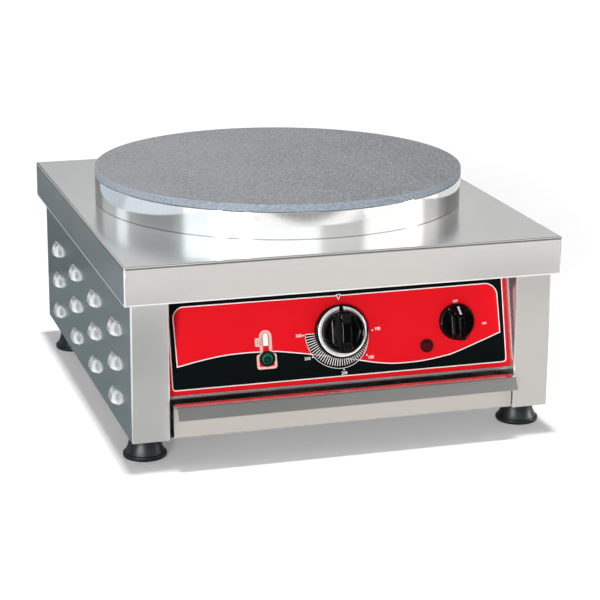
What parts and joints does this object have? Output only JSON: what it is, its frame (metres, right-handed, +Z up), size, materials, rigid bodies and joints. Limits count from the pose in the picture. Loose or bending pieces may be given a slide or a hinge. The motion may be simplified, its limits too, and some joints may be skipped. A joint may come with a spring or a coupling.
{
  "type": "electric crepe maker",
  "caption": "Countertop electric crepe maker: round cast plate on a boxy steel body, tilted control panel with knobs, crumb drawer and levelling feet.",
  "frame": {"origin": "on the floor, in the middle of the whole outline", "axes": "+Z up, the control panel and drawer face -Y, +X to the right seen from the front"},
  "size_m": [0.454, 0.5123, 0.243],
  "materials": {
    "stainless": "fine brushed stainless sheet",
    "polished_stainless": "polished stainless ring",
    "cast_plate": "machined cast plate, finely speckled",
    "element_sheath": "dark oxidised tube",
    "ceramic": "unglazed ceramic",
    "galvanised": "zinc-coated sheet",
    "insulation": "mineral wool",
    "zinc_fastener": "zinc-plated",
    "printed_overlay": "printed red and black film",
    "phenolic": "moulded phenolic",
    "switch_plastic": "moulded plastic",
    "copper": "drawn copper tube",
    "spindle_steel": "turned steel",
    "black_knob": "glossy black moulding",
    "chrome_ring": "bright chrome",
    "lamp_bezel": "glossy moulding",
    "red_lens": "translucent red lens",
    "green_lens": "translucent green lens",
    "brass": "bare brass",
    "gland_plastic": "black nylon",
    "wire_sleeve": "silicone sleeve",
    "foot_plastic": "semi-gloss black moulding"
  },
  "bodies": {
    "body": {"top_cover": "stainless", "plate_collar": "polished_stainless", "cooking_plate": "cast_plate", "outer_element": "element_sheath", "inner_element": "element_sheath", "element_terminals": "ceramic", "element_clamp": "galvanised", "insulation_pad": "insulation", "reflector_pan": "galvanised", "plate_bridges": "galvanised", "plate_studs": "zinc_fastener", "plate_nuts": "zinc_fastener", "side_panel_left": "stainless", "side_panel_right": "stainless", "rear_panel": "stainless", "base_pan": "galvanised", "control_panel": "stainless", "panel_overlay": "printed_overlay", "thermostat_body": "phenolic", "thermostat_bulb": "copper", "switch_body": "switch_plastic", "red_lamp_body": "lamp_bezel", "red_lamp_lens": "red_lens", "green_lamp_body": "lamp_bezel", "green_lamp_lens": "green_lens", "safety_limiter": "phenolic", "terminal_block": "ceramic", "earth_stud": "brass", "cable_gland": "gland_plastic", "gland_nut": "gland_plastic", "wiring": "wire_sleeve", "lamp_wiring": "wire_sleeve", "earth_lead": "wire_sleeve", "runner_left": "galvanised", "runner_right": "galvanised", "foot_nuts": "zinc_fastener", "cover_studs": "zinc_fastener", "cover_nuts": "zinc_fastener", "rear_screws": "zinc_fastener", "control_screws": "zinc_fastener", "panel_screws": "zinc_fastener"},
    "thermostat_dial": {"thermostat_knob": "black_knob", "knob_ring": "chrome_ring", "thermostat_spindle": "spindle_steel"},
    "switch_dial": {"switch_knob": "black_knob", "switch_spindle": "spindle_steel"},
    "drawer": {"drawer_front": "stainless", "drawer_tray": "galvanised"},
    "foot_fl": {"foot_front_left": "foot_plastic"},
    "foot_fr": {"foot_front_right": "foot_plastic"},
    "foot_rl": {"foot_rear_left": "foot_plastic"},
    "foot_rr": {"foot_rear_right": "foot_plastic"}
  },
  "joints": [
    {"name": "thermostat_turn", "type": "hinge", "parent": "body", "child": "thermostat_dial", "pos_m": [0, -0.21082, 0.11615], "axis": [0, 0.9715, -0.2368], "range_deg": [0, 270]},
    {"name": "switch_turn", "type": "hinge", "parent": "body", "child": "switch_dial", "pos_m": [0.1252, -0.21082, 0.11615], "axis": [0, 0.9715, -0.2368], "range_deg": [0, 90]},
    {"name": "drawer_slide", "type": "slide", "parent": "body", "child": "drawer", "axis": [0, -1, 0], "range_m": [0, 0.35]},
    {"name": "foot_screw_front_left", "type": "slide", "parent": "body", "child": "foot_fl", "axis": [0, 0, -1], "range_m": [0, 0.012]},
    {"name": "foot_screw_front_right", "type": "slide", "parent": "body", "child": "foot_fr", "axis": [0, 0, -1], "range_m": [0, 0.012]},
    {"name": "foot_screw_rear_left", "type": "slide", "parent": "body", "child": "foot_rl", "axis": [0, 0, -1], "range_m": [0, 0.012]},
    {"name": "foot_screw_rear_right", "type": "slide", "parent": "body", "child": "foot_rr", "axis": [0, 0, -1], "range_m": [0, 0.012]}
  ]
}
